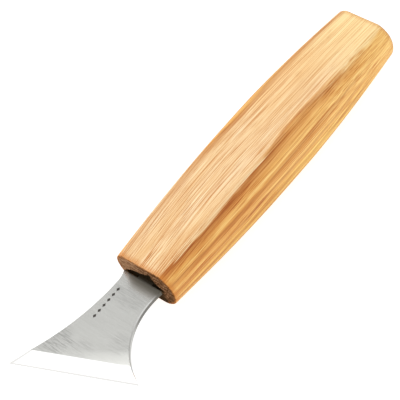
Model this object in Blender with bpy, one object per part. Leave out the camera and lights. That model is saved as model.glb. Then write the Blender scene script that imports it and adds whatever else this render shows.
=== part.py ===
"""Palm-sized carving knife: a skewed fishtail blade whose tang is glued into a barrel-shaped handle.

Frame: +X runs from the butt to the blade, +Z is square to the handle's broad faces, and the origin
is the middle of the small flat on the handle's lower broad face, on which the handle rests.
Every length is in metres.
"""

import math

import bmesh
import bpy
from mathutils import Vector

GAP = 0.0003  # clearance between neighbouring pieces
MERGE_DISTANCE = 0.000003  # points nearer than this are one point
SHARP_ANGLE = math.radians(30.0)

# Handle: one piece of ash, widest and thickest at mid-length.
HANDLE_LENGTH = 0.1200
MID_WIDTH = 0.0290
FRONT_WIDTH = 0.0262
BUTT_WIDTH = 0.0240
MID_THICKNESS = 0.02378
END_THICKNESS = 0.0178
LANDING_LENGTH = 0.0240  # flat sanded on the crown of each broad face
WAIST_RISE = 0.00173  # the widest line runs this far above mid-thickness
UPPER_BULGE = 0.0031  # how far a side swells past the edge of the broad face
LOWER_BULGE = 0.0025
UPPER_CORNER = 0.0019
LOWER_CORNER = 0.0064
BUTT_ROUND_DEPTH = 0.0021  # rounding of the butt's rim, along X
BUTT_ROUND_INSET = 0.0031  # and inwards
STATION_STEP = 0.0060
CORNER_STEPS = 5
SIDE_STEPS = 6
BUTT_STEPS = 5

# Blind hole drilled into the front end grain.
HOLE_RADIUS = 0.0054
HOLE_DEPTH = 0.0500
HOLE_SIDE = -0.0012
HOLE_DROP = 0.0002  # below mid-thickness
DRILL_POINT_ANGLE = math.radians(118.0)
HOLE_STEPS = 40
DRILL_OVERSHOOT = 0.0030  # the cutter stands this far out of the front face

# Blade, in its own frame: x from the handle's front face, y from the neck's middle.
BLADE_THICKNESS = 0.0020
BLADE_SIDE = -0.00215
BLADE_DROP = 0.0016  # below mid-thickness
NECK_WIDTH = 0.0162
EDGE_REACH = 0.0409  # handle to cutting edge, along the neck's middle
EDGE_SKEW = math.radians(20.5)
BEVEL_WIDTH = 0.0059
# Each side: radius of the flare at the shoulder, where the sweep starts, its radius and its turn.
LONG_SIDE = {"flare": 0.009, "start": 0.0045, "sweep": 0.086, "turn": math.radians(24.5)}
SHORT_SIDE = {"flare": 0.040, "start": 0.0055, "sweep": 0.027, "turn": math.radians(61.0)}
FLARE_STEPS = 4
SWEEP_STEPS = 14

# Tang, hidden in the handle.
TANG_LENGTH = 0.0440
TANG_ROOT_WIDTH = 0.0066
TANG_END_WIDTH = 0.0050
TANG_SIDE = 0.00075  # from the neck's middle

# Cured adhesive round the tang.
ADHESIVE_RECESS = 0.0010  # below the front face
SLOT_HALF_HEIGHT = BLADE_THICKNESS / 2.0 + GAP


def clear_scene():
    for scene_object in list(bpy.data.objects):
        bpy.data.objects.remove(scene_object, do_unlink=True)


def new_material(name, colour, roughness, metallic=0.0):
    material = bpy.data.materials.new(name)
    material.use_nodes = True
    shader = material.node_tree.nodes["Principled BSDF"]
    shader.inputs["Base Color"].default_value = (*colour, 1.0)
    shader.inputs["Roughness"].default_value = roughness
    shader.inputs["Metallic"].default_value = metallic
    return material


def new_object(name, mesh_builder, material=None):
    mesh = bpy.data.meshes.new(name)
    bmesh.ops.recalc_face_normals(mesh_builder, faces=mesh_builder.faces)
    mesh_builder.to_mesh(mesh)
    mesh_builder.free()
    made = bpy.data.objects.new(name, mesh)
    bpy.context.scene.collection.objects.link(made)
    if material:
        mesh.materials.append(material)
        mesh.shade_smooth()
        mesh.set_sharp_from_angle(angle=SHARP_ANGLE)
    return made


def cut(target, cutter):
    """Subtracts the cutter, which stays in the scene as a hidden wire shape."""
    cutter.hide_render = True
    cutter.display_type = "WIRE"
    modifier = target.modifiers.new("cut_" + cutter.name, "BOOLEAN")
    modifier.operation = "DIFFERENCE"
    modifier.solver = "EXACT"
    modifier.object = cutter


# ---------------------------------------------------------------- handle


def half_width_at(x):
    end_width = FRONT_WIDTH if x > 0.0 else BUTT_WIDTH
    share = (2.0 * x / HANDLE_LENGTH) ** 2
    return (MID_WIDTH - (MID_WIDTH - end_width) * share) / 2.0


def half_thickness_at(x):
    landing_share = (LANDING_LENGTH / HANDLE_LENGTH) ** 2
    share = max((2.0 * x / HANDLE_LENGTH) ** 2 - landing_share, 0.0) / (1.0 - landing_share)
    return (MID_THICKNESS - (MID_THICKNESS - END_THICKNESS) * share) / 2.0


def quarter_section(half_width, height, bulge, corner):
    """(y, z) points from the edge of a broad face, round its corner, to the widest point of the side.

    The side is an arc that swells by the bulge, and the corner is an arc tangent to it.
    """
    core_height = height - corner
    side_radius = (core_height**2 + bulge**2) / (2.0 * bulge)
    lean = math.asin(core_height / side_radius)
    corner_y = half_width - corner - bulge
    side_y = half_width - corner - side_radius
    points = []
    for step in range(CORNER_STEPS):
        angle = math.pi / 2.0 + (lean - math.pi / 2.0) * step / CORNER_STEPS
        points.append((corner_y + corner * math.cos(angle), core_height + corner * math.sin(angle)))
    for step in range(SIDE_STEPS + 1):
        angle = lean * (1.0 - step / SIDE_STEPS)
        reach = side_radius + corner
        points.append((side_y + reach * math.cos(angle), reach * math.sin(angle)))
    return points


def handle_ring(x, inset):
    """The handle's section at x, shrunk all round by the inset, as points in order."""
    half_width = half_width_at(x) - inset
    half_thickness = half_thickness_at(x) - inset
    softened = inset / 2.0
    upper = quarter_section(
        half_width, half_thickness - WAIST_RISE, UPPER_BULGE, UPPER_CORNER - softened
    )
    lower = quarter_section(
        half_width, half_thickness + WAIST_RISE, LOWER_BULGE, LOWER_CORNER - softened
    )
    waist = MID_THICKNESS / 2.0 + WAIST_RISE
    right = [(y, waist + z) for y, z in upper]
    right += [(y, waist - z) for y, z in reversed(lower[:-1])]
    left = [(-y, z) for y, z in reversed(right)]
    return [Vector((x, y, z)) for y, z in right + left]


def handle_stations():
    """(x, inset) of each section, from the butt's flat end to the front face."""
    butt = -HANDLE_LENGTH / 2.0
    stations = []
    for step in range(BUTT_STEPS + 1):
        angle = math.pi / 2.0 * step / BUTT_STEPS
        x = butt + BUTT_ROUND_DEPTH * (1.0 - math.cos(angle))
        stations.append((x, BUTT_ROUND_INSET * (1.0 - math.sin(angle))))
    count = round(HANDLE_LENGTH / STATION_STEP)
    return stations + [(butt + STATION_STEP * step, 0.0) for step in range(1, count + 1)]


def add_loft(builder, rings):
    """Skins the rings, which all have the same number of points, and caps both ends."""
    loops = [[builder.verts.new(point) for point in ring] for ring in rings]
    for near, far in zip(loops, loops[1:]):
        for index, corner in enumerate(near):
            before = index - 1
            builder.faces.new((near[before], corner, far[index], far[before]))
    builder.faces.new(loops[0])
    builder.faces.new(loops[-1])


def build_handle():
    builder = bmesh.new()
    add_loft(builder, [handle_ring(x, inset) for x, inset in handle_stations()])
    wood = new_material("ash_wood", (0.80, 0.54, 0.27), 0.55)
    handle = new_object("handle", builder, wood)
    drill = new_object("tang_hole_drill", drilled_shape(HOLE_RADIUS, HOLE_DEPTH, DRILL_OVERSHOOT))
    place_on_hole_axis(drill)
    cut(handle, drill)
    return handle


# ------------------------------------------------- tang hole and adhesive


def drilled_shape(radius, depth, proud):
    """A bar along x that ends in a drill point at -depth and stands proud of x = 0."""
    point_length = radius / math.tan(DRILL_POINT_ANGLE / 2.0)
    profile = [(proud, 0.0), (proud, radius), (point_length - depth, radius), (-depth, 0.0)]
    builder = bmesh.new()
    verts = [builder.verts.new((x, y, 0.0)) for x, y in profile]
    edges = [builder.edges.new(pair) for pair in zip(verts, verts[1:])]
    bmesh.ops.spin(
        builder,
        geom=verts + edges,
        axis=(1.0, 0.0, 0.0),
        cent=(0.0, 0.0, 0.0),
        angle=math.tau,
        steps=HOLE_STEPS,
    )
    bmesh.ops.remove_doubles(builder, verts=builder.verts, dist=MERGE_DISTANCE)
    return builder


def place_on_hole_axis(item):
    item.location = (HANDLE_LENGTH / 2.0, HOLE_SIDE, MID_THICKNESS / 2.0 - HOLE_DROP)


def build_adhesive():
    """The plug that fills the hole behind its mouth, with a slot open at the front for the tang."""
    resin = new_material("cured_epoxy", (0.035, 0.028, 0.022), 0.45)
    plug = drilled_shape(HOLE_RADIUS - GAP, HOLE_DEPTH - GAP, -ADHESIVE_RECESS)
    adhesive = new_object("tang_adhesive", plug, resin)
    place_on_hole_axis(adhesive)
    half_root = TANG_ROOT_WIDTH / 2.0 + GAP
    half_end = TANG_END_WIDTH / 2.0 + GAP
    outline = [
        (GAP, TANG_SIDE - half_root),
        (GAP, TANG_SIDE + half_root),
        (-TANG_LENGTH - GAP, TANG_SIDE + half_end),
        (-TANG_LENGTH - GAP, TANG_SIDE - half_end),
    ]
    builder = bmesh.new()
    face = builder.faces.new([builder.verts.new((x, y, -SLOT_HALF_HEIGHT)) for x, y in outline])
    raised = bmesh.ops.extrude_face_region(builder, geom=[face])["geom"]
    lifted = [item for item in raised if isinstance(item, bmesh.types.BMVert)]
    bmesh.ops.translate(builder, verts=lifted, vec=(0.0, 0.0, 2.0 * SLOT_HALF_HEIGHT))
    slot = new_object("tang_slot_cutter", builder)
    place_on_blade_axis(slot)
    cut(adhesive, slot)
    return adhesive


# ----------------------------------------------------------------- blade


def place_on_blade_axis(item):
    item.location = (HANDLE_LENGTH / 2.0, BLADE_SIDE, MID_THICKNESS / 2.0 - BLADE_DROP)


def distance_to_edge(x, y):
    """Distance of a point of the blade's plan behind the straight cutting edge."""
    return (EDGE_REACH - x) * math.cos(EDGE_SKEW) - y * math.sin(EDGE_SKEW)


def tip_from(start, turn, side):
    """Where a straight run that leaves start at the given turn meets the cutting edge."""
    direction = Vector((math.cos(turn), side * math.sin(turn)))
    closing = direction.x * math.cos(EDGE_SKEW) + direction.y * math.sin(EDGE_SKEW)
    return start + direction * (distance_to_edge(*start) / closing)


def side_outline(shape, side):
    """Plan of one side of the blade, from the shoulder to the tip on the edge.

    The neck flares at the shoulder, then sweeps out in an arc and ends in a straight run to the tip.
    A point is added where the outline crosses the back of the bevel.
    """
    half_neck = NECK_WIDTH / 2.0
    points = []
    for step in range(FLARE_STEPS):
        x = GAP + (shape["start"] - GAP) * step / FLARE_STEPS
        rise = shape["flare"] - math.sqrt(shape["flare"] ** 2 - (shape["start"] - x) ** 2)
        points.append(Vector((x, side * (half_neck + rise))))
    for step in range(SWEEP_STEPS + 1):
        angle = shape["turn"] * step / SWEEP_STEPS
        x = shape["start"] + shape["sweep"] * math.sin(angle)
        points.append(Vector((x, side * (half_neck + shape["sweep"] * (1.0 - math.cos(angle))))))
    points.append(tip_from(points[-1], shape["turn"], side))
    behind = [point for point in points if distance_to_edge(*point) > BEVEL_WIDTH]
    beyond = points[len(behind) :]
    span = distance_to_edge(*behind[-1]) - distance_to_edge(*beyond[0])
    share = (distance_to_edge(*behind[-1]) - BEVEL_WIDTH) / span
    return behind, behind[-1].lerp(beyond[0], share), beyond


def tang_outline():
    half_root = TANG_ROOT_WIDTH / 2.0
    half_end = TANG_END_WIDTH / 2.0
    return [
        Vector((GAP, TANG_SIDE + half_root)),
        Vector((-TANG_LENGTH, TANG_SIDE + half_end)),
        Vector((-TANG_LENGTH, TANG_SIDE - half_end)),
        Vector((GAP, TANG_SIDE - half_root)),
    ]


def raised_vert(builder, point, facing):
    """A point of the plan on the upper or lower face, where the bevel thins the plate."""
    fullness = min(distance_to_edge(*point) / BEVEL_WIDTH, 1.0)
    height = facing * fullness * BLADE_THICKNESS / 2.0
    return builder.verts.new((point.x, point.y, height))


def build_blade():
    """A flat plate with a tang, ground to the edge by the same bevel on both faces."""
    short_behind, short_cross, short_beyond = side_outline(SHORT_SIDE, 1.0)
    long_behind, long_cross, long_beyond = side_outline(LONG_SIDE, -1.0)
    flat = [short_cross] + short_behind[::-1] + tang_outline() + long_behind + [long_cross]
    bevel = long_beyond + short_beyond[::-1]
    builder = bmesh.new()
    sheets = []
    for facing in (1.0, -1.0):
        flat_verts = [raised_vert(builder, point, facing) for point in flat]
        bevel_verts = [raised_vert(builder, point, facing) for point in bevel]
        builder.faces.new(flat_verts)
        builder.faces.new([flat_verts[-1]] + bevel_verts + [flat_verts[0]])
        sheets.append(flat_verts + bevel_verts)
    for index in range(len(sheets[0])):
        quad = (sheets[0][index - 1], sheets[0][index], sheets[1][index], sheets[1][index - 1])
        if distance_to_edge(*quad[0].co.xy) + distance_to_edge(*quad[1].co.xy) > MERGE_DISTANCE:
            builder.faces.new(quad)
    bmesh.ops.remove_doubles(builder, verts=builder.verts, dist=MERGE_DISTANCE)
    steel = new_material("satin_steel", (0.55, 0.55, 0.54), 0.32, 1.0)
    blade = new_object("blade", builder, steel)
    place_on_blade_axis(blade)
    return blade


def build_knife():
    clear_scene()
    knife = bpy.data.objects.new("knife", None)
    bpy.context.scene.collection.objects.link(knife)
    for piece in (build_handle(), build_adhesive(), build_blade()):
        piece.parent = knife


build_knife()
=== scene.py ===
"""Looks of the carving knife: ash handle, satin steel blade and dark adhesive, on a pale studio floor.

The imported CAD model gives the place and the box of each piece. Driving dimensions that its boxes don't give
are repeated from the CAD source under the same names. Lengths are in metres, except in the materials, which
work in millimetres.
"""

import math

import bmesh
import bpy
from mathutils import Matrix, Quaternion, Vector, noise


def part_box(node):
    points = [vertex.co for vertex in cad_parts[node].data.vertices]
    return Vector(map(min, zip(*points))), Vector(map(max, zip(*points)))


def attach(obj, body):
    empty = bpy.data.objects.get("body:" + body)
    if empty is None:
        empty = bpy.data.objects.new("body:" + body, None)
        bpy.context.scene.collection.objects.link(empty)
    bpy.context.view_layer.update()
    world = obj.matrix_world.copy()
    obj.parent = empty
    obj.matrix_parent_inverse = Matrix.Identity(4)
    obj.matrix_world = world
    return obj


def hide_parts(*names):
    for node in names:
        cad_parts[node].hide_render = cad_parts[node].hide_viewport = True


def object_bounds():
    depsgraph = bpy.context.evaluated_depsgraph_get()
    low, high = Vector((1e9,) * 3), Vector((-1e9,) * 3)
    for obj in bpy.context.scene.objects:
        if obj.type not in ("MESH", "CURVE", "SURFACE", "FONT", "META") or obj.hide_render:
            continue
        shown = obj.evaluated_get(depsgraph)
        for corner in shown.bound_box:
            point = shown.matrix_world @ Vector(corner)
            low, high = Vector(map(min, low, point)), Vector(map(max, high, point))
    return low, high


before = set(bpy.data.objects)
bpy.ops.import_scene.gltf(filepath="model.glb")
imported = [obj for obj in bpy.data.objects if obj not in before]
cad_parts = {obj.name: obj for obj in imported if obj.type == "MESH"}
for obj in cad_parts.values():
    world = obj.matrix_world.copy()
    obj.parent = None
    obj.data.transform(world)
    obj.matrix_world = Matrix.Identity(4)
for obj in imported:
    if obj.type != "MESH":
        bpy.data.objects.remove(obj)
cad_low, cad_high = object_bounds()

MM = 0.001
GAP = 0.3 * MM  # the CAD model's clearance between neighbouring pieces

# ------------------------------------------------------------ frame sizes

handle_low, handle_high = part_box("handle")
BUTT_X = handle_low.x
FRONT_X = handle_high.x
HANDLE_MID_X = (BUTT_X + FRONT_X) / 2.0
HALF_LENGTH = (FRONT_X - BUTT_X) / 2.0
MID_WIDTH = handle_high.y - handle_low.y
MID_THICKNESS = handle_high.z - handle_low.z
MID_Z = (handle_low.z + handle_high.z) / 2.0

adhesive_low, adhesive_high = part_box("tang_adhesive")
HOLE_Y = (adhesive_low.y + adhesive_high.y) / 2.0
HOLE_Z = (adhesive_low.z + adhesive_high.z) / 2.0
ADHESIVE_RADIUS = (adhesive_high.z - adhesive_low.z) / 2.0
HOLE_RADIUS = ADHESIVE_RADIUS + GAP
HOLE_END_X = adhesive_low.x - GAP
DRILL_POINT_ANGLE = math.radians(118.0)

blade_low, blade_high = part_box("blade")
BLADE_THICKNESS = blade_high.z - blade_low.z
BLADE_Z = (blade_low.z + blade_high.z) / 2.0
TANG_END_X = blade_low.x

# ----------------------------------------------- section of the handle

FRONT_WIDTH = 0.0262
BUTT_WIDTH = 0.0240
END_THICKNESS = 0.0178
LANDING_SHARE = 0.20  # share of the half length that is flat on each broad face
WAIST_RISE = 0.00173
UPPER_BULGE = 0.0031
LOWER_BULGE = 0.0025
UPPER_CORNER = 0.0019
LOWER_CORNER = 0.0064
BUTT_ROUND_DEPTH = 0.0021
BUTT_ROUND_INSET = 0.0031
RIM_ROUND = 0.0004  # worn front rim
SANDING_DEPTH = 0.0001
SANDING_WAVE_MM = 9.0
FAR = 0.0100  # stands for a distance too long to matter

# Torn mouth of the tang hole, as seen from the hole's middle. Two straight tears meet above it. A tear is
# (distance, across, up), and runs where across * y + up * z equals the distance. A chip is (middle, width,
# depth), and its middle and width are angles in degrees, counted from +Y towards +Z.
MOUTH_HALF_WIDTHS = {"long side": 0.0092, "short side": 0.0076}
LONG_SIDE_TEAR = (0.0029, -0.29, 1.0)
SHORT_SIDE_TEAR = (0.0045, 0.95, 0.31)
CHIPS = ((55.0, 9.0, 0.0017), (0.0, 7.0, 0.0020))
MOUTH_DROP = 0.0023  # how far it reaches below the hole's middle, at its sides
MOUTH_LOWER_RADIUS = 0.0047
SAWN_ROUGHNESS = 0.00012
LIP_DEPTH = 0.00035
LIP_START = 0.85  # share of the way from the rim to the mouth
MIN_SLOPE = 0.05  # keeps a division by a direction's part away from zero

# Depth down the tang hole, and how far its torn mouth has closed to the drilled bore there.
THROAT_STEPS = ((0.0006, 0.0), (0.0013, 0.2), (0.0024, 0.7), (0.0040, 1.0))

STATION_STEP = 1.0 * MM
FLAT_STEPS = 16
CORNER_STEPS = 8
SIDE_STEPS = 14
BUTT_STEPS = 9
RIM_STEPS = 3
FACE_RINGS = 9
FACE_RING_CROWDING = 0.85  # under 1, so that the rings crowd towards the mouth

# ---------------------------------------------------------------- adhesive

ADHESIVE_CLEARANCE = 0.00004  # to the tang and to the bore
SPOKES = 96
SKIN_RINGS = 8
COARSE_LUMP_MM = 1.1
FINE_LUMP_MM = 0.45
LUMP_HEIGHT = 0.00035
CLIMB_AT_TANG = 0.0004
CLIMB_AT_WALL = 0.0003
HIGHEST_LUMP = 0.0007

# ------------------------------------------------------ plan of the blade

BLADE_SIDE = -0.00215  # y of the neck's middle
NECK_WIDTH = 0.0162
EDGE_REACH = 0.0409
EDGE_SKEW = math.radians(20.5)
BEVEL_WIDTH = 0.0059
LONG_SIDE = {"flare": 0.009, "start": 0.0045, "sweep": 0.086, "turn": math.radians(24.5)}
SHORT_SIDE = {"flare": 0.040, "start": 0.0055, "sweep": 0.027, "turn": math.radians(61.0)}
CHAMFER = 0.00032
CHAMFER_LIMIT = 0.6  # share of the half thickness, where the blade is thin
TANG_ROOT_WIDTH = 0.0066
TANG_END_WIDTH = 0.0050
TANG_SIDE = 0.00075

# Polished run-out behind the bevel: a wedge that starts on the bevel's back, and widens and rounds over
# to the short side.
RUNOUT_START = 0.0080  # along the edge, from the long tip
RUNOUT_END = 0.0400
RUNOUT_WIDTH = 0.0050
RUNOUT_SLOPE = 0.036
RUNOUT_LIMIT = 1.15  # it stops growing a little past its end
RUNOUT_ROUNDING = 0.35

FLARE_STEPS = 50
SWEEP_STEPS = 200
COLUMNS = 26
CLOSEST_COLUMNS = 0.015  # share of the blade's width
MERGE_DISTANCE = 0.002 * MM
ROUNDING = 1e-9  # covers rounding errors
BEVEL_ROWS = (0.0, 0.0004, 0.001, 0.002, 0.003, 0.004, 0.005, BEVEL_WIDTH)  # distance behind the edge
RUNOUT_ROWS = 11
RUNOUT_ROW_STEP = 0.0005
FACE_ROWS = 44


# ---------------------------------------------------------------- helpers


def new_piece(name, builder, material, stands_for, sharp_degrees):
    """Turns the mesh into a piece that stands for a CAD node and rides on the knife's one body."""
    bmesh.ops.recalc_face_normals(builder, faces=builder.faces)
    mesh = bpy.data.meshes.new(name)
    builder.to_mesh(mesh)
    builder.free()
    mesh.materials.append(material)
    mesh.shade_smooth()
    mesh.set_sharp_from_angle(angle=math.radians(sharp_degrees))
    piece = bpy.data.objects.new(name, mesh)
    bpy.context.scene.collection.objects.link(piece)
    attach(piece, "root")
    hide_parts(stands_for)
    return piece


def add_rings(builder, rings):
    """Skins a list of rings, each with the same number of points, and returns their vertices."""
    loops = [[builder.verts.new(point) for point in ring] for ring in rings]
    for near, far in zip(loops, loops[1:]):
        for index, corner in enumerate(near):
            before = index - 1
            builder.faces.new((near[before], corner, far[index], far[before]))
    return loops


def store_distances(piece, name, rows):
    """Stores a distance in millimetres at each vertex of a piece, ring by ring, for its material."""
    values = [distance / MM for row in rows for distance in row]
    attribute = piece.data.attributes.new(name, "FLOAT", "POINT")
    attribute.data.foreach_set("value", values)


def ragged(point, scale_mm, seed):
    """Smooth noise from -1 to 1 at a point, with features of about the given size."""
    return noise.noise(Vector(point) / (scale_mm * MM) + Vector((seed, 2.0 * seed, -seed)))


# ----------------------------------------------------------------- handle


def half_width_at(x):
    share = ((x - HANDLE_MID_X) / HALF_LENGTH) ** 2
    end_width = FRONT_WIDTH if x > HANDLE_MID_X else BUTT_WIDTH
    return (MID_WIDTH - (MID_WIDTH - end_width) * share) / 2.0


def half_thickness_at(x):
    landing = LANDING_SHARE**2
    share = max(((x - HANDLE_MID_X) / HALF_LENGTH) ** 2 - landing, 0.0) / (1.0 - landing)
    return (MID_THICKNESS - (MID_THICKNESS - END_THICKNESS) * share) / 2.0


def quarter_section(half_width, height, bulge, corner):
    """(y, z) points from the edge of a broad face, round the corner and down to the side's widest point."""
    core_height = height - corner
    side_radius = (core_height**2 + bulge**2) / (2.0 * bulge)
    lean = math.asin(core_height / side_radius)
    corner_y = half_width - corner - bulge
    side_y = half_width - corner - side_radius
    points = []
    for step in range(CORNER_STEPS):
        angle = math.pi / 2.0 + (lean - math.pi / 2.0) * step / CORNER_STEPS
        points.append((corner_y + corner * math.cos(angle), core_height + corner * math.sin(angle)))
    for step in range(SIDE_STEPS + 1):
        angle = lean * (1.0 - step / SIDE_STEPS)
        reach = side_radius + corner
        points.append((side_y + reach * math.cos(angle), reach * math.sin(angle)))
    return points


def flat_run(start, end):
    """Points strictly between two ends of a broad face."""
    return [
        (start[0] + (end[0] - start[0]) * step / FLAT_STEPS, start[1])
        for step in range(1, FLAT_STEPS)
    ]


def handle_ring(x, inset):
    """(y, z) points of the handle's section at x, shrunk all round by the inset."""
    half_width = half_width_at(x) - inset
    half_thickness = half_thickness_at(x) - inset
    softened = min(inset / 2.0, UPPER_CORNER * 0.8)
    upper = quarter_section(
        half_width, half_thickness - WAIST_RISE, UPPER_BULGE, UPPER_CORNER - softened
    )
    lower = quarter_section(
        half_width, half_thickness + WAIST_RISE, LOWER_BULGE, LOWER_CORNER - softened
    )
    waist = MID_Z + WAIST_RISE
    right = [(y, waist + z) for y, z in upper]
    right += [(y, waist - z) for y, z in reversed(lower[:-1])]
    left = [(-y, z) for y, z in reversed(right)]
    return right + flat_run(right[-1], left[0]) + left + flat_run(left[-1], right[0])


def sanded(x, ring):
    """Hand sanding: the surface dips inwards by up to a tenth of a millimetre, in long soft waves."""
    points = []
    for y, z in ring:
        wave = 0.5 + 0.5 * ragged((x / 3.0, y, z), SANDING_WAVE_MM, 3.1)
        depth = SANDING_DEPTH * wave
        outward = Vector((y, z - MID_Z)).normalized()
        points.append(Vector((x, y - outward.x * depth, z - outward.y * depth)))
    return points


def near_angle(angle, middle_degrees, width_degrees):
    """1 at an angle, falling to 0 on both sides of it."""
    off = (math.degrees(angle) - middle_degrees) / width_degrees
    return math.exp(-(off**2))


def reach_to_tear(tear, across, up):
    """How far a ray in the direction (across, up) goes before it meets a straight tear."""
    distance, tear_across, tear_up = tear
    return distance / max(tear_up * up + tear_across * across, MIN_SLOPE)


def mouth_radius(angle):
    """Radius of the torn mouth of the tang hole, as a function of the angle from +Y towards +Z.

    The mouth is a slot nearly as wide as the blade, with a chipped, torn slope above it and small bites all
    round it.
    """
    across, up = math.cos(angle), math.sin(angle)
    half_width = MOUTH_HALF_WIDTHS["long side" if across < 0.0 else "short side"]
    bites = 0.00025 * math.sin(5.0 * angle + 0.6) + 0.00015 * math.sin(13.0 * angle + 2.0)
    reach = half_width / max(abs(across), MIN_SLOPE)
    if up > 0.0:
        torn = min(reach_to_tear(LONG_SIDE_TEAR, across, up), reach_to_tear(SHORT_SIDE_TEAR, across, up))
        for middle, width, depth in CHIPS:
            torn += depth * near_angle(angle, middle, width)
    else:
        torn = max(MOUTH_DROP / max(-up, MIN_SLOPE), MOUTH_LOWER_RADIUS)
    return min(reach, torn) + bites


def front_face_rings(outline):
    """Rings across the sawn front face, from its rim to the torn mouth of the hole."""
    spokes = []
    for y, z in outline:
        angle = math.atan2(z - HOLE_Z, y - HOLE_Y)
        reach = mouth_radius(angle)
        spokes.append((y, z, HOLE_Y + reach * math.cos(angle), HOLE_Z + reach * math.sin(angle)))
    rings = []
    for step in range(1, FACE_RINGS + 1):
        share = (step / FACE_RINGS) ** FACE_RING_CROWDING
        ring = []
        for y, z, mouth_y, mouth_z in spokes:
            point_y = y + (mouth_y - y) * share
            point_z = z + (mouth_z - z) * share
            torn = SAWN_ROUGHNESS * (0.5 + 0.5 * ragged((point_y * 0.4, point_z, 0.0), 0.8, 5.2))
            lip = LIP_DEPTH * max(0.0, share - LIP_START) / (1.0 - LIP_START)
            ring.append(Vector((FRONT_X - torn - lip, point_y, point_z)))
        rings.append(ring)
    return rings


def throat_rings(mouth):
    """Rings down the hole: behind its torn lip the mouth closes to the drilled bore."""
    bore_end = HOLE_END_X + HOLE_RADIUS / math.tan(DRILL_POINT_ANGLE / 2.0)
    bore_depth = FRONT_X - bore_end
    rings = []
    for depth, share in (*THROAT_STEPS, (bore_depth, 1.0)):
        ring = []
        for point in mouth:
            angle = math.atan2(point.z - HOLE_Z, point.y - HOLE_Y)
            reach = max(math.hypot(point.y - HOLE_Y, point.z - HOLE_Z), HOLE_RADIUS)
            reach += (HOLE_RADIUS - reach) * share
            side = HOLE_Y + reach * math.cos(angle)
            ring.append(Vector((FRONT_X - depth, side, HOLE_Z + reach * math.sin(angle))))
        rings.append(ring)
    return rings


def handle_skin():
    """Rings along the handle's outside: round the butt's rim, along the barrel and round the front rim."""
    skin = []
    for step in range(BUTT_STEPS + 1):
        angle = math.pi / 2.0 * step / BUTT_STEPS
        x = BUTT_X + BUTT_ROUND_DEPTH * (1.0 - math.cos(angle))
        skin.append(sanded(x, handle_ring(x, BUTT_ROUND_INSET * (1.0 - math.sin(angle)))))
    first = math.ceil(BUTT_ROUND_DEPTH / STATION_STEP) + 1
    last = round(2.0 * HALF_LENGTH / STATION_STEP) - 1
    for station in range(first, last + 1):
        x = BUTT_X + station * STATION_STEP
        skin.append(sanded(x, handle_ring(x, 0.0)))
    for step in range(RIM_STEPS + 1):
        angle = math.pi / 2.0 * step / RIM_STEPS
        x = FRONT_X - RIM_ROUND * (1.0 - math.sin(angle))
        outline = handle_ring(x, RIM_ROUND * (1.0 - math.cos(angle)))
        skin.append(sanded(x, outline))
    return skin, outline


def build_handle(material):
    skin, outline = handle_skin()
    face = front_face_rings(outline)
    throat = throat_rings(face[-1])
    builder = bmesh.new()
    loops = add_rings(builder, skin + face + throat)
    builder.faces.new(loops[0])
    tip = builder.verts.new((HOLE_END_X, HOLE_Y, HOLE_Z))
    for index, corner in enumerate(loops[-1]):
        builder.faces.new((loops[-1][index - 1], corner, tip))
    piece = new_piece("handle_wood", builder, material, "handle", sharp_degrees=40.0)
    store_face_distances(piece, skin, face, throat)


def store_face_distances(piece, skin, face, throat):
    """Stores how far each vertex lies from the front face's rim, and from the mouth of the hole."""
    count = len(face[0])
    touching = [0.0] * count
    inside = [-FAR] * count
    far_off = [FAR] * count
    from_rim = [touching] * len(skin)
    from_rim += [gaps(ring, skin[-1]) for ring in face]
    from_rim += [far_off] * len(throat)
    store_distances(piece, "from_rim", from_rim + [[FAR]])
    from_mouth = [far_off] * len(skin)
    from_mouth += [gaps(ring, face[-1]) for ring in face]
    from_mouth += [inside] * len(throat)
    store_distances(piece, "from_mouth", from_mouth + [[-FAR]])


def gaps(ring, other):
    """Distance from each point of a ring to the same point of another."""
    return [(point - match).length for point, match in zip(ring, other)]


# --------------------------------------------------------------- adhesive


def ray_to_circle(start, angle, centre, radius):
    """Where a ray from start, inside the circle, leaves it."""
    direction = Vector((math.cos(angle), math.sin(angle)))
    offset = start - centre
    along = offset.dot(direction)
    return start + direction * (-along + math.sqrt(along**2 + radius**2 - offset.length_squared))


def ray_to_box(start, angle, half_width, half_height):
    """Where a ray from the middle of a rectangle leaves it."""
    across = abs(math.cos(angle)) / half_width
    up = abs(math.sin(angle)) / half_height
    return start + Vector((math.cos(angle), math.sin(angle))) / max(across, up)


def adhesive_lump(point, share):
    """How far the adhesive's skin stands out at a point. It climbs up the tang and, less, up the wall."""
    lump = ragged(point, COARSE_LUMP_MM, 7.7) + 0.5 * ragged(point, FINE_LUMP_MM, 1.3)
    climb = CLIMB_AT_TANG * (1.0 - share) + CLIMB_AT_WALL * share**4
    return min(LUMP_HEIGHT * lump + climb, HIGHEST_LUMP)


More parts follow.
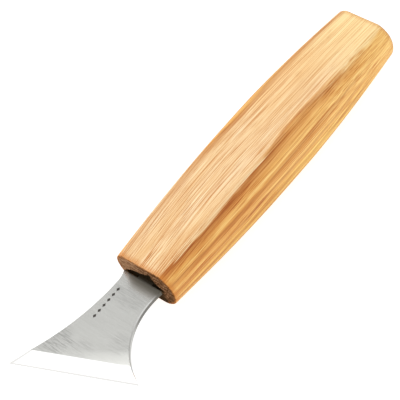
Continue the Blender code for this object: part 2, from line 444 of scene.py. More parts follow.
def build_adhesive(material):
    """Cured adhesive round the tang: a ragged skin behind the mouth, and a plug with a slot behind it."""
    middle = Vector((BLADE_SIDE + TANG_SIDE, BLADE_Z))
    centre = Vector((HOLE_Y, HOLE_Z))
    angles = [math.tau * spoke / SPOKES for spoke in range(SPOKES)]
    half_height = BLADE_THICKNESS / 2.0 + ADHESIVE_CLEARANCE

    def tang_ring(x, width):
        half_width = width / 2.0 + ADHESIVE_CLEARANCE
        corners = [ray_to_box(middle, angle, half_width, half_height) for angle in angles]
        return [Vector((x, corner.x, corner.y)) for corner in corners]

    def wall_ring(x):
        radius = HOLE_RADIUS - ADHESIVE_CLEARANCE
        ends = [ray_to_circle(middle, angle, centre, radius) for angle in angles]
        return [Vector((x, end.x, end.y)) for end in ends]

    inner = tang_ring(adhesive_high.x, TANG_ROOT_WIDTH)
    outer = wall_ring(adhesive_high.x)
    skin = []
    for step in range(SKIN_RINGS + 1):
        share = step / SKIN_RINGS
        ring = [near.lerp(far, share) for near, far in zip(inner, outer)]
        for point in ring:
            point.x += adhesive_lump(point, share)
        skin.append(ring)
    plug_end = adhesive_low.x + ADHESIVE_RADIUS / math.tan(DRILL_POINT_ANGLE / 2.0)
    slot_end = tang_ring(TANG_END_X - ADHESIVE_CLEARANCE, TANG_END_WIDTH)
    builder = bmesh.new()
    loops = add_rings(builder, [slot_end, *skin, wall_ring(plug_end)])
    builder.faces.new(loops[0])
    tip = builder.verts.new((adhesive_low.x, HOLE_Y, HOLE_Z))
    for index, corner in enumerate(loops[-1]):
        builder.faces.new((loops[-1][index - 1], corner, tip))
    new_piece("adhesive_plug", builder, material, "tang_adhesive", sharp_degrees=50.0)


# ------------------------------------------------------------------ blade


def distance_to_edge(x, y):
    """Distance behind the straight cutting edge of a point of the plan, whose x runs from the handle."""
    return (EDGE_REACH - x) * math.cos(EDGE_SKEW) - y * math.sin(EDGE_SKEW)


def distance_along_edge(x, y):
    """How far along the cutting edge's direction a point of the plan lies."""
    return y * math.cos(EDGE_SKEW) - x * math.sin(EDGE_SKEW)


def side_outline(shape, side):
    """Dense plan of one side, from its tip on the edge back to the shoulder."""
    half_neck = NECK_WIDTH / 2.0
    points = []
    for step in range(FLARE_STEPS):
        x = GAP + (shape["start"] - GAP) * step / FLARE_STEPS
        rise = shape["flare"] - math.sqrt(shape["flare"] ** 2 - (shape["start"] - x) ** 2)
        points.append(Vector((x, side * (half_neck + rise))))
    for step in range(SWEEP_STEPS + 1):
        angle = shape["turn"] * step / SWEEP_STEPS
        x = shape["start"] + shape["sweep"] * math.sin(angle)
        points.append(Vector((x, side * (half_neck + shape["sweep"] * (1.0 - math.cos(angle))))))
    bend = points[-1]
    direction = Vector((math.cos(shape["turn"]), side * math.sin(shape["turn"])))
    closing = direction.x * math.cos(EDGE_SKEW) + direction.y * math.sin(EDGE_SKEW)
    run = distance_to_edge(*bend) / closing
    for step in range(1, SWEEP_STEPS + 1):
        points.append(bend + direction * run * step / SWEEP_STEPS)
    return points[::-1]


def point_at_distance(outline, distance):
    """Point of a side at the given distance behind the edge."""
    for near, far in zip(outline, outline[1:]):
        near_distance = distance_to_edge(*near)
        far_distance = distance_to_edge(*far)
        if near_distance <= distance + ROUNDING <= far_distance:
            share = (distance - near_distance) / (far_distance - near_distance)
            return near.lerp(far, max(share, 0.0))
    return outline[0]


def points_behind(outline, distance, count):
    """Points that share out the rest of a side evenly, from the given distance to the shoulder."""
    kept = [point for point in outline if distance_to_edge(*point) > distance]
    kept.insert(0, point_at_distance(outline, distance))
    lengths = [0.0]
    for near, far in zip(kept, kept[1:]):
        lengths.append(lengths[-1] + (far - near).length)
    found = []
    index = 0
    for step in range(1, count + 1):
        wanted = lengths[-1] * step / count
        while index < len(lengths) - 2 and lengths[index + 1] < wanted:
            index += 1
        share = (wanted - lengths[index]) / (lengths[index + 1] - lengths[index])
        found.append(kept[index].lerp(kept[index + 1], min(share, 1.0)))
    return found


def blade_half_height(x, y):
    """Half the blade's thickness at a point of the plan: flat, then the run-out, then the bevel."""
    distance = distance_to_edge(x, y)
    along = distance_along_edge(x, y) - LONG_TIP_ALONG
    share = (along - RUNOUT_START) / (RUNOUT_END - RUNOUT_START)
    share = min(max(share, 0.0), RUNOUT_LIMIT)
    width = RUNOUT_WIDTH * share
    full = BLADE_THICKNESS / 2.0
    drop = RUNOUT_SLOPE * share * width
    if distance <= BEVEL_WIDTH:
        return (full - drop) * max(distance, 0.0) / BEVEL_WIDTH
    into = BEVEL_WIDTH + width - distance
    if width > 0.0 and into > 0.0:
        slide = into / width
        return full - drop * ((1.0 - RUNOUT_ROUNDING) * slide + RUNOUT_ROUNDING * slide**2)
    return full


long_outline = side_outline(LONG_SIDE, -1.0)
short_outline = side_outline(SHORT_SIDE, 1.0)
LONG_TIP_ALONG = distance_along_edge(*long_outline[0])


def blade_rows():
    """(long side point, short side point) of each row across the blade, from the edge to the shoulder."""
    distances = list(BEVEL_ROWS)
    for step in range(1, RUNOUT_ROWS + 1):
        distances.append(BEVEL_WIDTH + RUNOUT_ROW_STEP * step)
    rows = []
    for distance in distances:
        pair = (point_at_distance(long_outline, distance), point_at_distance(short_outline, distance))
        rows.append(pair)
    long_rest = points_behind(long_outline, distances[-1], FACE_ROWS)
    short_rest = points_behind(short_outline, distances[-1], FACE_ROWS)
    return rows + list(zip(long_rest, short_rest))


def column_shares(long_end, short_end):
    """Shares across a row. Two of them meet the sides of the tang at the shoulder."""
    width = short_end.y - long_end.y
    shares = [step / COLUMNS for step in range(1, COLUMNS)]
    for side in (-1.0, 1.0):
        tang_edge = TANG_SIDE + side * TANG_ROOT_WIDTH / 2.0
        share = (tang_edge - long_end.y) / width
        shares = [kept for kept in shares if abs(kept - share) > CLOSEST_COLUMNS] + [share]
    return sorted(shares)


def place_on_blade(builder, plan, height):
    """New vertex over a point of the plan, at a height above the blade's middle plane."""
    return builder.verts.new((FRONT_X + plan.x, BLADE_SIDE + plan.y, BLADE_Z + height))


def blade_sheet(builder, rows, facing):
    """Rows of vertices over one face of the blade, with its chamfers. facing is 1 for the upper face."""
    shares = column_shares(*rows[-1])
    sheet = []
    for long_point, short_point in rows:
        across = (short_point - long_point).normalized()
        long_half = blade_half_height(*long_point)
        short_half = blade_half_height(*short_point)
        long_chamfer = min(CHAMFER, CHAMFER_LIMIT * long_half)
        short_chamfer = min(CHAMFER, CHAMFER_LIMIT * short_half)
        plans = [long_point + across * long_chamfer]
        plans += [long_point.lerp(short_point, share) for share in shares]
        plans.append(short_point - across * short_chamfer)
        row = [place_on_blade(builder, long_point, facing * (long_half - long_chamfer))]
        row += [place_on_blade(builder, plan, facing * blade_half_height(*plan)) for plan in plans]
        row.append(place_on_blade(builder, short_point, facing * (short_half - short_chamfer)))
        sheet.append(row)
    return sheet


def build_blade(material):
    rows = blade_rows()
    builder = bmesh.new()
    upper = blade_sheet(builder, rows, 1.0)
    lower = blade_sheet(builder, rows, -1.0)
    for sheet in (upper, lower):
        for near, far in zip(sheet, sheet[1:]):
            for column in range(len(near) - 1):
                builder.faces.new((near[column], near[column + 1], far[column + 1], far[column]))
    for index in range(len(rows) - 1):
        for column in (0, -1):
            corners = (upper[index][column], upper[index + 1][column])
            builder.faces.new((*corners, lower[index + 1][column], lower[index][column]))
    add_tang(builder, upper[-1], lower[-1])
    bmesh.ops.remove_doubles(builder, verts=builder.verts, dist=MERGE_DISTANCE)
    bmesh.ops.dissolve_degenerate(builder, edges=builder.edges, dist=MERGE_DISTANCE)
    new_piece("blade_steel", builder, material, "blade", sharp_degrees=5.0)


def add_tang(builder, upper, lower):
    """Closes the shoulders and adds the tang, whose root is a run of the last row's columns."""
    root = [
        column
        for column, vert in enumerate(upper)
        if abs(vert.co.y - BLADE_SIDE - TANG_SIDE) < TANG_ROOT_WIDTH / 2.0 + 0.01 * MM
    ]
    for column in range(len(upper) - 1):
        if column not in root[:-1]:
            builder.faces.new((upper[column], upper[column + 1], lower[column + 1], lower[column]))
    half_height = BLADE_THICKNESS / 2.0
    taper = TANG_END_WIDTH / TANG_ROOT_WIDTH
    ends = {}
    for facing, row in ((1.0, upper), (-1.0, lower)):
        ends[facing] = []
        for column in root:
            side = (row[column].co.y - BLADE_SIDE - TANG_SIDE) * taper + TANG_SIDE
            plan = Vector((TANG_END_X - FRONT_X, side))
            ends[facing].append(place_on_blade(builder, plan, facing * half_height))
        for index in range(len(root) - 1):
            near = (row[root[index]], row[root[index + 1]])
            builder.faces.new((*near, ends[facing][index + 1], ends[facing][index]))
    for index in range(len(root) - 1):
        above = (ends[1.0][index], ends[1.0][index + 1])
        builder.faces.new((*above, ends[-1.0][index + 1], ends[-1.0][index]))
    for column, index in ((root[0], 0), (root[-1], -1)):
        builder.faces.new((upper[column], lower[column], ends[-1.0][index], ends[1.0][index]))


# -------------------------------------------------------------- materials


class Field:
    """A number at each point of a surface, worked out by shader nodes. Arithmetic makes new fields."""

    def __init__(self, shader, socket):
        self.shader = shader
        self.socket = socket

    def __add__(self, other):
        return self.shader.math("ADD", self, other)

    def __radd__(self, other):
        return self.shader.math("ADD", other, self)

    def __sub__(self, other):
        return self.shader.math("SUBTRACT", self, other)

    def __rsub__(self, other):
        return self.shader.math("SUBTRACT", other, self)

    def __mul__(self, other):
        return self.shader.math("MULTIPLY", self, other)

    def __rmul__(self, other):
        return self.shader.math("MULTIPLY", other, self)

    def __truediv__(self, other):
        return self.shader.math("DIVIDE", self, other)

    def __abs__(self):
        return self.shader.math("ABSOLUTE", self)

    def at_least(self, other):
        return self.shader.math("MAXIMUM", self, other)

    def at_most(self, other):
        return self.shader.math("MINIMUM", self, other)

    def fraction(self):
        return self.shader.math("FRACT", self)

    def step(self, low, high):
        """0 below low, 1 above high, and smooth between."""
        return self.shader.step(self, low, high)


class Shader:
    """A material under construction. Places are in millimetres in the knife's frame."""

    def __init__(self, name):
        self.material = bpy.data.materials.new(name)
        self.material.use_nodes = True
        self.tree = self.material.node_tree
        self.surface = self.tree.nodes["Principled BSDF"]
        coordinates = self.tree.nodes.new("ShaderNodeTexCoord")
        self.place = self.vector("MULTIPLY", coordinates.outputs["Object"], (1.0 / MM,) * 3)
        self.x, self.y, self.z = self.split(self.place)
        self.normal_x, _, self.normal_z = self.split(coordinates.outputs["Normal"])

    def split(self, vector):
        parts = self.tree.nodes.new("ShaderNodeSeparateXYZ")
        self.tree.links.new(vector, parts.inputs[0])
        return [Field(self, socket) for socket in parts.outputs]

    def feed(self, socket, value):
        if isinstance(value, Field):
            value = value.socket
        if isinstance(value, bpy.types.NodeSocket):
            self.tree.links.new(value, socket)
        else:
            socket.default_value = value

    def vector(self, operation, first, second):
        node = self.tree.nodes.new("ShaderNodeVectorMath")
        node.operation = operation
        self.feed(node.inputs[0], first)
        self.feed(node.inputs[1], second)
        return node.outputs[0]

    def math(self, operation, first, second=0.0):
        node = self.tree.nodes.new("ShaderNodeMath")
        node.operation = operation
        self.feed(node.inputs[0], first)
        self.feed(node.inputs[1], second)
        return Field(self, node.outputs[0])

    def step(self, value, low, high):
        node = self.tree.nodes.new("ShaderNodeMapRange")
        node.interpolation_type = "SMOOTHSTEP"
        self.feed(node.inputs["Value"], value)
        self.feed(node.inputs["From Min"], low)
        self.feed(node.inputs["From Max"], high)
        return Field(self, node.outputs["Result"])

    def noise(self, per_mm, detail=2.0, roughness=0.5, seed=0.0, place=None):
        """Noise from 0 to 1. per_mm gives how many features fit in a millimetre along each axis."""
        node = self.tree.nodes.new("ShaderNodeTexNoise")
        scaled = self.vector("MULTIPLY", place or self.place, per_mm)
        self.feed(node.inputs["Vector"], self.vector("ADD", scaled, (seed, seed, seed)))
        node.inputs["Scale"].default_value = 1.0
        node.inputs["Detail"].default_value = detail
        node.inputs["Roughness"].default_value = roughness
        return Field(self, node.outputs["Fac"])

    def stored(self, name):
        """A distance in millimetres that the mesh stores at its vertices."""
        node = self.tree.nodes.new("ShaderNodeAttribute")
        node.attribute_name = name
        return Field(self, node.outputs["Fac"])

    def ramp(self, value, stops):
        node = self.tree.nodes.new("ShaderNodeValToRGB")
        elements = node.color_ramp.elements
        while len(elements) < len(stops):
            elements.new(1.0)
        for element, (position, colour) in zip(elements, stops):
            element.position = position
            element.color = (*colour, 1.0)
        self.feed(node.inputs["Fac"], value)
        return node.outputs["Color"]

    def mix(self, share, first, second, blend="MIX"):
        node = self.tree.nodes.new("ShaderNodeMix")
        node.data_type = "RGBA"
        node.blend_type = blend
        self.feed(node.inputs["Factor"], share)
        for socket, value in ((node.inputs[6], first), (node.inputs[7], second)):
            self.feed(socket, value if isinstance(value, bpy.types.NodeSocket) else (*value, 1.0))
        return node.outputs[2]

    def bump(self, height, distance):
        node = self.tree.nodes.new("ShaderNodeBump")
        node.inputs["Distance"].default_value = distance
        self.feed(node.inputs["Height"], height)
        self.feed(self.surface.inputs["Normal"], node.outputs["Normal"])


def srgb(red, green, blue):
    """Linear colour of an 8-bit display colour."""
    values = []
    for value in (red, green, blue):
        share = value / 255.0
        values.append(share / 12.92 if share <= 0.04045 else ((share + 0.055) / 1.055) ** 2.4)
    return tuple(values)


# Colour of the cured adhesive; the wood also uses it for painted shade in the mouth of the hole and a painted
# shadow under the blade.
ADHESIVE_AND_SHADE_COLOUR = srgb(42, 34, 23)

# In the wood, x runs from -60 at the butt to 60 at the front face, y is negative towards the blade's long
# side, and z runs from 0 at the bottom to 24 at the top, all in millimetres.
# The pale wood above the top growth line carries painted sheen of the top light.
TOP_LINE = 20.3  # height of the growth line that parts the pale wood from the golden
LAYER_SPACING = 3.5
LAYER_STOPS = [
    (0.00, srgb(200, 134, 70)),
    (0.05, srgb(200, 134, 70)),
    (0.13, srgb(214, 150, 80)),
    (0.34, srgb(230, 168, 92)),
    (0.52, srgb(245, 193, 112)),
    (0.68, srgb(254, 213, 136)),
    (0.80, srgb(248, 199, 118)),
    (0.92, srgb(229, 167, 90)),
    (1.00, srgb(194, 128, 64)),
]


def layer_height(shader):
    """Height of each point in the growth layers, which arch up along the handle and sag across it."""
    x, y, z = shader.x, shader.y, shader.z
    from_crown = x + 8.0
    reach = (from_crown / 64.0).at_least(from_crown / -45.0)
    crown = (1.0 - reach * reach).at_least(0.0)
    above = ((z - 14.0) / 9.6).at_least(0.0)
    arch = 3.3 * crown * above * above + 0.45 * x.step(38.0, 58.0)
    off_middle = y / 9.7
    sag = (1.0 - off_middle * off_middle).at_least(0.0)
    dip = (1.0 - abs(x + 43.0).step(2.0, 14.0)) * (1.0 - z.step(14.0, 18.0))
    slow = shader.noise((0.025, 0.05, 0.05), detail=1.0, seed=3.7) - 0.5
    quick = shader.noise((0.09, 0.24, 0.22), detail=2.0, seed=11.0) - 0.5
    return z - arch - 1.1 * dip + 3.0 * sag + 1.4 * slow + 0.9 * quick


def end_grain(shader):
    """Sawn pores soak up oil and turn dark, in thin layers. The colour is darker on the +Y side."""
    y = shader.y
    layers = shader.noise((0.1, 0.28, 1.3), detail=4.0, roughness=0.7, seed=2.0)
    pores = shader.noise((0.3, 1.6, 2.4), detail=2.0, seed=6.0)
    tone = layers + 0.6 * (pores - 0.5) + 0.07 - 0.13 * y.step(-6.0, 5.0)
    stops = [(0.30, srgb(54, 36, 20)), (0.46, srgb(112, 76, 48)), (0.66, srgb(186, 144, 110))]
    return shader.ramp(tone, stops)


def streaked(shader, colour, field, strength, dark, light, even=0.49):
    """Multiplies a colour by a darker and a lighter tint where noise along the grain is low and high."""
    lowest, highest = 0.34, 0.65  # noise seldom goes past these
    tint = shader.ramp(field, [(lowest, dark), (even, (1.0, 1.0, 1.0)), (highest, light)])
    return shader.mix(strength, colour, tint, blend="MULTIPLY")


def reach_share(x):
    """Square of the distance from the handle's middle, as a share of its half length."""
    share = (x - HANDLE_MID_X / MM) / (HALF_LENGTH / MM)
    return share * share


def along_grain(shader):
    """Place in the wood with the handle's taper taken out, so that lines run along its shaped faces."""
    x, y, z = shader.x, shader.y, shader.z
    share = reach_share(x)
    tapered = 1.0 - (1.0 - END_THICKNESS / MID_THICKNESS) * (share - LANDING_SHARE**2).at_least(0.0)
    narrowed = 1.0 - (1.0 - FRONT_WIDTH / MID_WIDTH) * share
    sway = shader.noise((0.012, 0.03, 0.03), detail=1.0, seed=40.0) - 0.5
    combine = shader.tree.nodes.new("ShaderNodeCombineXYZ")
    shader.feed(combine.inputs[0], x)
    shader.feed(combine.inputs[1], y / narrowed + 3.5 * sway)
    shader.feed(combine.inputs[2], (z - MID_Z / MM) / tapered + 1.5 * sway)
    return combine.outputs[0]


def golden_wood(shader, height, blotch):
    """Golden growth layers with brown lines. They fade towards the butt, lower down and on the far side."""
    x, y, z = shader.x, shader.y, shader.z
    phase = ((TOP_LINE + 20.0 * LAYER_SPACING - height) / LAYER_SPACING).fraction()
    golden = shader.ramp(phase, LAYER_STOPS)
    soft_gold = shader.ramp(blotch, [(0.3, srgb(238, 180, 96)), (0.7, srgb(250, 204, 124))])
    faded = 0.14 - 0.09 * x.step(-40.0, 22.0) + 0.38 * (1.0 - x.step(-46.0, -30.0))
    faded = faded + 0.22 * (1.0 - height.step(TOP_LINE - 2.6, TOP_LINE - 1.0))
    golden = shader.mix(faded.at_most(0.85), golden, soft_gold)
    golden = shader.mix(1.0 - y.step(-6.0, 2.0), golden, soft_gold)
    # Darker towards the front; painted shade low on the side, which turns it darker and more saturated there.
    deep = (0.30 * (1.0 - z.step(7.0, 14.0)) + x.step(-10.0, 26.0)).at_most(1.0)
    golden = shader.mix(0.85 * deep, golden, (0.90, 0.80, 0.68), blend="MULTIPLY")
    golden = shader.mix(1.0 - z.step(8.0, 15.0), golden, (0.96, 1.0, 0.78), blend="MULTIPLY")
    # Painted highlight of the butt light: brighter and yellower towards the butt.
    return shader.mix(0.55 * (1.0 - x.step(-57.0, -35.0)), golden, srgb(255, 212, 130))


def pale_wood_and_sheen(shader, blotch, thin):
    """Peach upper face: the wood's tone with painted sheen of the top light, a painted highlight that turns
    it yellow towards the butt, and a brown line along the long side.
    """
    x, y, z = shader.x, shader.y, shader.z
    # The pale peach is the wood's tone with painted sheen of the top light.
    stops = [(0.3, srgb(235, 191, 134)), (0.5, srgb(241, 203, 152)), (0.75, srgb(243, 209, 164))]
    # Painted highlight of the butt light: brighter and yellower towards the butt.
    butt_highlight = 1.0 - x.step(-60.0, -20.0)
    peach = shader.mix(0.8 * butt_highlight, shader.ramp(blotch, stops), srgb(253, 222, 158))
    warm = (1.0 - y.step(-4.0, 2.5)) * x.step(-45.0, -28.0) * (1.0 - x.step(-16.0, 2.0))
    peach = shader.mix(0.8 * warm, peach, (1.0, 0.92, 0.74), blend="MULTIPLY")
    from_ridge = abs(y + 9.0 - 0.9 * reach_share(x) + 1.2 * (thin - 0.5))
    ridge = (1.0 - from_ridge.step(0.2, 2.0)) * z.step(16.0, 18.0) * (0.85 - 0.45 * x.step(0.0, 45.0))
    return shader.mix(ridge, peach, srgb(204, 140, 74))


def growth_colours(shader, thin):
    """Pale wood with painted sheen above the top growth line, and golden wood below it. Also returns where
    it's pale.
    """
    x = shader.x
    height = layer_height(shader)
    blotch = shader.noise((0.025, 0.16, 0.16), detail=3.0, seed=21.0)
    feathered = height + 1.1 * (thin - 0.5)
    softness = 0.25 + 0.75 * (1.0 - x.step(-12.0, 8.0))
    # Where the upper face takes the wood's pale tone with painted sheen of the top light.
    pale = ((feathered - TOP_LINE - 0.15) / softness).step(-0.5, 0.9)
    colour = shader.mix(pale, golden_wood(shader, height, blotch), pale_wood_and_sheen(shader, blotch, thin))
    butt_x = BUTT_X / MM
    rounded_end = 1.0 - (x + 1.5 * (thin - 0.5)).step(butt_x + 0.4, butt_x + 3.4)
    return shader.mix(0.85 * rounded_end, colour, srgb(222, 162, 88)), pale


def add_streaks(shader, colour, thin, side, place):
    """Bands, long lines, thin lines and short fibres along the grain. side is 1 where it's golden."""
    x = shader.x
    clear = 0.45 + 0.27 * x.step(-60.0, -35.0) + 0.28 * x.step(-25.0, 5.0).at_least(side)
    bands = shader.noise((0.014, 0.8, 0.8), detail=1.0, seed=5.0, place=place)
    lines = shader.noise((0.022, 2.5, 2.5), detail=1.0, seed=9.0, place=place)
    fibre = shader.noise((0.12, 6.0, 6.0), detail=1.0, seed=33.0, place=place)
    colour = streaked(shader, colour, bands, 0.04 + 0.62 * side, (0.87, 0.72, 0.54), (1.06, 1.12, 1.20))
    colour = streaked(shader, colour, lines, 0.38 * clear, (0.86, 0.68, 0.48), (1.04, 1.08, 1.13))
    colour = streaked(shader, colour, thin, clear, (0.68, 0.42, 0.22), (1.07, 1.17, 1.30), even=0.47)
    return streaked(shader, colour, fibre, 0.9 * clear, (0.86, 0.70, 0.54), (1.05, 1.10, 1.15))


def add_end_grain(shader, colour, end, fray):
    """Dark end grain on the front face, with an orange ragged rim, and paler end grain on the butt."""
    x = shader.x
    fresh = 1.0 - (shader.stored("from_rim") + 3.6 * fray).step(-0.3, 0.8)
    front_grain = shader.mix(0.7 * fresh, end_grain(shader), srgb(188, 116, 54))
    butt_grain = shader.mix(0.55, end_grain(shader), srgb(196, 142, 84))
    colour = shader.mix(end, colour, shader.mix(x.step(0.0, 1.0), butt_grain, front_grain))
    front_x = FRONT_X / MM
    edge = (x + 1.2 * fray).step(front_x - 2.4, front_x - 0.2) * (1.0 - end)
    return shader.mix(0.60 * edge, colour, srgb(208, 128, 50))


def ash_wood():
    """Ash: pale with painted sheen on the broad faces, golden growth layers on the sides, and dark end grain,
    with painted shade in the mouth of the hole and a painted shadow under the blade.
    """
    shader = Shader("ash_wood")
    x, y, z = shader.x, shader.y, shader.z
    grain_place = along_grain(shader)
    thin = shader.noise((0.026, 3.4, 3.4), detail=1.5, roughness=0.5, seed=15.0, place=grain_place)
    colour, pale = growth_colours(shader, thin)
    colour = add_streaks(shader, colour, thin, 1.0 - pale, grain_place)
    pore_field = shader.noise((0.10, 3.0, 3.0), detail=1.0, seed=25.0, place=grain_place)
    pores = 1.0 - pore_field.step(0.26, 0.33)
    colour = shader.mix((0.35 + 0.35 * x.step(-20.0, 25.0)) * pores, colour, srgb(204, 126, 58))

    fray = shader.noise((1.0, 1.3, 1.3), detail=2.0, seed=50.0) - 0.5
    end = (abs(shader.normal_x) + 0.4 * fray).step(0.60, 0.95)
    colour = add_end_grain(shader, colour, end, fray)

    # Dark round the mouth of the hole, with painted shade on the throat walls inside it, and a painted shadow
    # of the blade on the face under the blade.
    dark_mouth_and_throat_shade = 1.0 - (shader.stored("from_mouth") + 1.2 * fray).step(-0.1, 0.6)
    under = (BLADE_Z / MM - z).step(0.0, 1.5) * (1.0 - abs(y - HOLE_Y / MM).step(6.5, 9.0))
    dark_and_painted_shade = dark_mouth_and_throat_shade.at_least(0.8 * under * end * x.step(0.0, 1.0))
    colour = shader.mix(0.97 * dark_and_painted_shade, colour, ADHESIVE_AND_SHADE_COLOUR)

    shader.feed(shader.surface.inputs["Base Color"], colour)
    shader.feed(shader.surface.inputs["Roughness"], 0.42 + 0.16 * thin + 0.4 * end)
    dull = end.at_least(dark_and_painted_shade).at_least(0.6 * (1.0 - z.step(5.0, 15.0)))
    shader.feed(shader.surface.inputs["Specular IOR Level"], 0.28 - 0.28 * dull)
    shader.bump(thin - 0.8 * pores, 0.00006)
    return shader.material


def etched_mark(plan_x, plan_y):
    """Plain row of small equal lozenges etched along the blade: 1 inside them, 0 outside."""
    row_start, row_end, row_y = 6.0, 20.4, -5.3
    pitch, half_length, half_height = 2.4, 0.85, 0.62
    count = (plan_x - row_start) / pitch
    off_x = abs(count.fraction() - 0.5) * pitch / half_length
    off_y = abs(plan_y - row_y) / half_height
    inside = 1.0 - (off_x + off_y).step(0.85, 1.15)
    return inside * plan_x.step(row_start - 0.01, row_start) * (1.0 - plan_x.step(row_end, row_end + 0.01))


def from_long_side(plan_x, plan_y):
    """Distance from the straight last stretch of the blade's long side."""
    turn = LONG_SIDE["turn"]
    bend_x = LONG_SIDE["start"] + LONG_SIDE["sweep"] * math.sin(turn)
    bend_y = NECK_WIDTH / 2.0 + LONG_SIDE["sweep"] * (1.0 - math.cos(turn))
    return (plan_x - bend_x / MM) * math.sin(turn) + (plan_y + bend_y / MM) * math.cos(turn)


# Middle, reach and strength of each darker patch, in millimetres on the blade's plan: coarser grinding marks
# with painted dark reflection by the long tip, coarser grinding marks by the short tip and at the neck, and
# painted shade with grinding marks behind the bevel.
MARK_AND_SHADE_PATCHES = (
    ((33.0, -11.0), (7.0, 7.0), 0.60),
    ((23.0, 10.5), (5.0, 5.0), 0.22),
    ((7.0, 1.0), (6.0, 9.0), 0.27),
    ((31.5, -0.5), (4.5, 6.0), 0.22),
)


def marks_and_shade_patch(plan_x, plan_y, middle, reach, strength, marks):
    """An oval of coarser grinding marks, each of which fades out at its own length, painted darker; by the
    long tip and behind the bevel the darkness is painted reflection and painted shade.
    """
    off_x = (plan_x - middle[0]) / reach[0]
    off_y = (plan_y - middle[1]) / reach[1]
    covered = 1.0 - (off_x * off_x + off_y * off_y + 1.6 * (marks - 0.5)).step(0.0, 1.1)
    return strength * covered * (0.22 + 0.78 * (1.0 - marks.step(0.38, 0.60)))


def ground_face(shader, plan_x, plan_y, scratch, marks):
    """Satin steel with fine scratches across it and the darker patches of coarser marks, partly painted
    reflection and painted shade.
    """
    broad = shader.noise((0.35, 0.02, 0.35), detail=2.0, seed=8.0)
    tone = 0.6 * scratch + 0.4 * broad
    colour = shader.ramp(tone, [(0.3, (0.505, 0.505, 0.482)), (0.7, (0.570, 0.570, 0.546))])
    patches = sum(marks_and_shade_patch(plan_x, plan_y, *patch, marks) for patch in MARK_AND_SHADE_PATCHES)
    return shader.mix(patches, colour, (0.27, 0.27, 0.26))


def add_edges(shader, colour, plan_x, plan_y, distance, bevel):
    """Bright bevel with a painted shade line along the edge and the long side, painted shade on the side
    walls near the neck, and painted glints on the chamfers along the neck.
    """
    colour = shader.mix(bevel, colour, (0.57, 0.57, 0.565))
    # Painted shade line along the cutting edge and along the long side, on the bevel.
    by_edge = 1.0 - distance.step(0.30, 0.72)
    by_long_side = 1.0 - from_long_side(plan_x, plan_y).step(0.5, 1.2)
    colour = shader.mix(by_edge.at_least(by_long_side) * bevel, colour, (0.40, 0.395, 0.385))
    tilt = abs(shader.normal_z)
    # Painted shade on the side walls, fading away from the neck.
    wall = (1.0 - tilt.step(0.35, 0.6)) * (1.0 - 0.90 * plan_x.step(11.0, 20.0))
    colour = shader.mix(0.95 * wall, colour, (0.16, 0.157, 0.145))
    # Painted highlight: the chamfers glint along the neck.
    glint = tilt.step(0.45, 0.60) * (1.0 - tilt.step(0.85, 0.95)) * (1.0 - plan_x.step(10.0, 20.0))
    return shader.mix(glint, colour, (0.80, 0.80, 0.78))


def blade_steel():
    """Satin steel ground across the blade, with a bright bevel and an etched mark on its upper face."""
    shader = Shader("blade_steel")
    plan_x = shader.x - FRONT_X / MM
    plan_y = shader.y - BLADE_SIDE / MM
    distance = (EDGE_REACH / MM - plan_x) * math.cos(EDGE_SKEW) - plan_y * math.sin(EDGE_SKEW)
    bevel_width = BEVEL_WIDTH / MM
    bevel = 1.0 - distance.step(bevel_width - 0.25, bevel_width + 0.35)
    scratch = shader.noise((4.0, 0.06, 4.0), detail=3.0, roughness=0.7, seed=4.0)
    marks = shader.noise((2.8, 0.20, 0.20), detail=2.0, roughness=0.7, seed=14.0)
    colour = ground_face(shader, plan_x, plan_y, scratch, marks)
    colour = add_edges(shader, colour, plan_x, plan_y, distance, bevel)

    # Painted dark reflection of the handle's end grain, with painted shade, as a dull band along the
    # shoulder, thinner towards the long side. Adhesive covers the tang itself.
    reach = 4.9 - 4.2 * (1.0 - plan_y.step(-8.2, -1.0)) + 3.0 * (marks - 0.5)
    painted_handle_reflection = 1.0 - (plan_x / reach.at_least(0.5)).step(0.25, 1.2)
    colour = shader.mix(painted_handle_reflection, colour, srgb(107, 104, 94))
    covered = 1.0 - (plan_x + 1.0 * (marks - 0.5)).step(-0.2, 0.9)
    colour = shader.mix(0.9 * covered, colour, ADHESIVE_AND_SHADE_COLOUR)
    mark = etched_mark(plan_x, plan_y) * shader.normal_z.step(0.5, 0.8)
    colour = shader.mix(0.95 * mark, colour, srgb(34, 25, 14))

    shader.feed(shader.surface.inputs["Base Color"], colour)
    shader.feed(shader.surface.inputs["Metallic"], 1.0 - (0.75 * painted_handle_reflection.at_least(mark)).at_least(covered))
    roughness = (0.20 + 0.06 * scratch + 0.2 * painted_handle_reflection) * (1.0 - 0.4 * bevel)
    shader.feed(shader.surface.inputs["Roughness"], roughness.at_least(0.6 * covered))
    shader.feed(shader.surface.inputs["Specular IOR Level"], 0.5 - 0.5 * covered)
    shader.bump(scratch + 0.5 * marks, 0.000001)
    return shader.material


def cured_epoxy():
    """Dark resin with wood dust in it."""
    shader = Shader("cured_epoxy")
    dust = shader.noise((1.3, 1.3, 1.3), detail=4.0, roughness=0.7)
    stops = [(0.35, srgb(34, 27, 18)), (0.6, srgb(46, 37, 25)), (0.8, srgb(72, 57, 40))]
    shader.feed(shader.surface.inputs["Base Color"], shader.ramp(dust, stops))
    shader.surface.inputs["Roughness"].default_value = 0.6
    shader.surface.inputs["Specular IOR Level"].default_value = 0.0
    shader.bump(dust, 0.0002)
    return shader.material


def pale_floor():
    shader = Shader("pale_floor")
    mottle = shader.noise((0.002, 0.002, 0.002), detail=1.0)
    shade = shader.ramp(mottle, [(0.3, (0.39, 0.39, 0.39)), (0.7, (0.41, 0.41, 0.41))])
    shader.feed(shader.surface.inputs["Base Color"], shade)
    shader.surface.inputs["Roughness"].default_value = 0.9
    shader.surface.inputs["Specular IOR Level"].default_value = 0.0
    shader.surface.inputs["Emission Color"].default_value = (1.0, 1.0, 1.0, 1.0)
    shader.surface.inputs["Emission Strength"].default_value = 0.85
    return shader.material


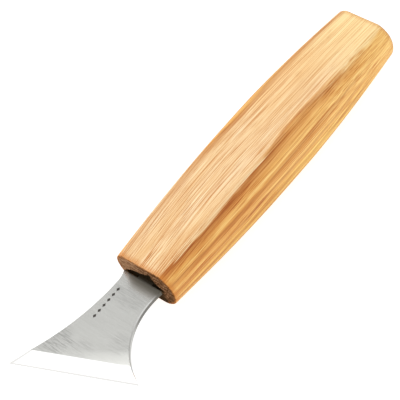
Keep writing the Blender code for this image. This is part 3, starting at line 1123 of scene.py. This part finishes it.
# ------------------------------------------------------------------ stage

SOFTBOX_DISTANCE = 1.2


def add_floor():
    reach = 3.0
    height = cad_low.z - 0.1 * MM
    mesh = bpy.data.meshes.new("floor")
    corners = [(-reach, -reach), (reach, -reach), (reach, reach), (-reach, reach)]
    mesh.from_pydata([(x, y, height) for x, y in corners], [], [(0, 1, 2, 3)])
    mesh.materials.append(pale_floor())
    floor = bpy.data.objects.new("floor", mesh)
    bpy.context.scene.collection.objects.link(floor)


def add_softbox(name, direction, size, power):
    """Square area light that looks at the middle of the knife from the given direction."""
    light = bpy.data.lights.new(name, "AREA")
    light.shape = "SQUARE"
    light.size = size
    light.energy = power
    lamp = bpy.data.objects.new(name, light)
    away = Vector(direction).normalized()
    lamp.location = (cad_low + cad_high) / 2.0 + away * SOFTBOX_DISTANCE
    lamp.rotation_mode = "QUATERNION"
    lamp.rotation_quaternion = away.to_track_quat("Z", "Y")
    bpy.context.scene.collection.objects.link(lamp)


def add_world():
    """White studio dome, a little darker towards the horizon."""
    horizon_strength = 0.78
    upper_strength = 0.88
    upper_height = 0.8  # share of the way to straight up
    world = bpy.data.worlds.new("studio_dome")
    world.use_nodes = True
    tree = world.node_tree
    background = tree.nodes["Background"]
    coordinates = tree.nodes.new("ShaderNodeTexCoord")
    parts = tree.nodes.new("ShaderNodeSeparateXYZ")
    strength = tree.nodes.new("ShaderNodeMapRange")
    strength.inputs["From Min"].default_value = 0.0
    strength.inputs["From Max"].default_value = upper_height
    strength.inputs["To Min"].default_value = horizon_strength
    strength.inputs["To Max"].default_value = upper_strength
    tree.links.new(coordinates.outputs["Generated"], parts.inputs[0])
    tree.links.new(parts.outputs["Z"], strength.inputs["Value"])
    tree.links.new(strength.outputs["Result"], background.inputs["Strength"])
    background.inputs["Color"].default_value = (1.0, 1.0, 1.0, 1.0)
    bpy.context.scene.world = world


def add_camera():
    """Long lens above the short tip's side, tilted so that the handle climbs to the upper right."""
    azimuth = math.radians(151.44)
    elevation = math.radians(48.77)
    roll = math.radians(26.0)
    distance = 0.7033
    target = Vector((0.0256, -0.0063, MID_Z))
    back = Vector(
        (
            math.sin(azimuth) * math.cos(elevation),
            -math.cos(azimuth) * math.cos(elevation),
            math.sin(elevation),
        )
    )
    camera = bpy.data.cameras.new("camera")
    camera.sensor_width = 36.0
    camera.lens = 189.0
    camera.clip_start = 0.01
    camera.clip_end = 20.0
    holder = bpy.data.objects.new("camera", camera)
    holder.location = target + back * distance
    holder.rotation_mode = "QUATERNION"
    tilt = Quaternion(back, -roll)
    holder.rotation_quaternion = tilt @ back.to_track_quat("Z", "Y")
    bpy.context.scene.collection.objects.link(holder)
    bpy.context.scene.camera = holder


build_handle(ash_wood())
build_adhesive(cured_epoxy())
build_blade(blade_steel())

add_floor()
add_world()
add_softbox("key_softbox", direction=(0.24, -0.42, 0.87), size=1.0, power=3.9)
add_softbox("butt_softbox", direction=(-0.62, -0.56, 0.55), size=0.45, power=1.6)
add_camera()
bpy.context.scene.view_settings.view_transform = "Standard"
